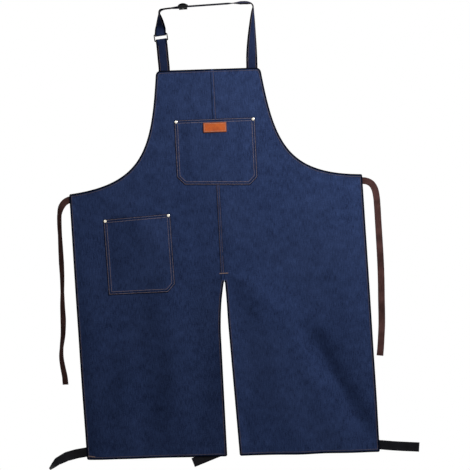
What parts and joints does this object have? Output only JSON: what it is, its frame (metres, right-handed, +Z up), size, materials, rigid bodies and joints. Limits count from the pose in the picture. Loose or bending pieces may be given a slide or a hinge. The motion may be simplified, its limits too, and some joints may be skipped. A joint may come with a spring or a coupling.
{
  "type": "welding apron",
  "caption": "Full-length split-leg denim work apron with an adjustable neck strap, chest and hip pockets, waist ties and webbing leg straps.",
  "frame": {"origin": "underside of the neck strap's top stretch, where it lies over the wearer's neck or a peg", "axes": "+Z up, the apron hangs down -Z; its front faces -Y; +X to the right seen from the front"},
  "size_m": [0.9825, 0.0376, 1.2424],
  "materials": {
    "denim": "indigo twill, matt",
    "denim_strap": "folded indigo twill, stitched",
    "thread": "copper-brown sewing thread",
    "leather": "tan, smooth, waxed edge",
    "brass": "polished cap",
    "black_metal": "black enamel",
    "brown_tape": "woven cotton tape",
    "black_webbing": "woven polypropylene webbing"
  },
  "bodies": {
    "neck_strap": {"neck_strap_long": "denim_strap", "neck_strap_return": "denim_strap", "neck_strap_short": "denim_strap"},
    "ring": {"strap_ring": "black_metal"},
    "slider": {"strap_slider": "black_metal"},
    "bib": {"left_bib_panel": "denim", "right_bib_panel": "denim", "chest_pocket": "denim", "leather_label": "leather", "neck_strap_end_left": "denim_strap", "neck_strap_end_right": "denim_strap", "chest_rivet_left": "brass", "chest_rivet_right": "brass", "chest_burr_left": "brass", "chest_burr_right": "brass", "waist_tie_left": "brown_tape", "waist_tie_right": "brown_tape"},
    "skirt": {"left_skirt_panel": "denim", "right_skirt_panel": "denim", "side_pocket": "denim", "side_rivet_left": "brass", "side_rivet_right": "brass", "side_burr_left": "brass", "side_burr_right": "brass"},
    "left_leg": {"left_leg_panel": "denim", "leg_strap_left_outer": "black_webbing", "leg_strap_left_inner": "black_webbing"},
    "right_leg": {"right_leg_panel": "denim", "leg_strap_right_inner": "black_webbing", "leg_strap_right_outer": "black_webbing"}
  },
  "joints": [
    {"name": "bib_swing", "type": "hinge", "parent": "neck_strap", "child": "bib", "pos_m": [-0.0105, 0, -0.1685], "axis": [-0.9995, 0, -0.033], "range_deg": [-45, 60]},
    {"name": "waist_fold", "type": "hinge", "parent": "bib", "child": "skirt", "pos_m": [0, 0, -0.537], "axis": [-1, 0, 0], "range_deg": [-60, 90]},
    {"name": "left_leg_fold", "type": "hinge", "parent": "skirt", "child": "left_leg", "pos_m": [-0.16, 0, -0.782], "axis": [-1, 0, 0], "range_deg": [-60, 90]},
    {"name": "right_leg_fold", "type": "hinge", "parent": "skirt", "child": "right_leg", "pos_m": [0.24, 0, -0.782], "axis": [-1, 0, 0], "range_deg": [-60, 90]},
    {"name": "ring_rock", "type": "hinge", "parent": "neck_strap", "child": "ring", "pos_m": [-0.1355, 0, -0.086], "axis": [0.9903, 0, 0.1392], "range_deg": [-6, 6]},
    {"name": "slider_slide", "type": "slide", "parent": "neck_strap", "child": "slider", "axis": [0.9975, 0, 0.0708], "range_m": [-0.003, 0.105]}
  ]
}
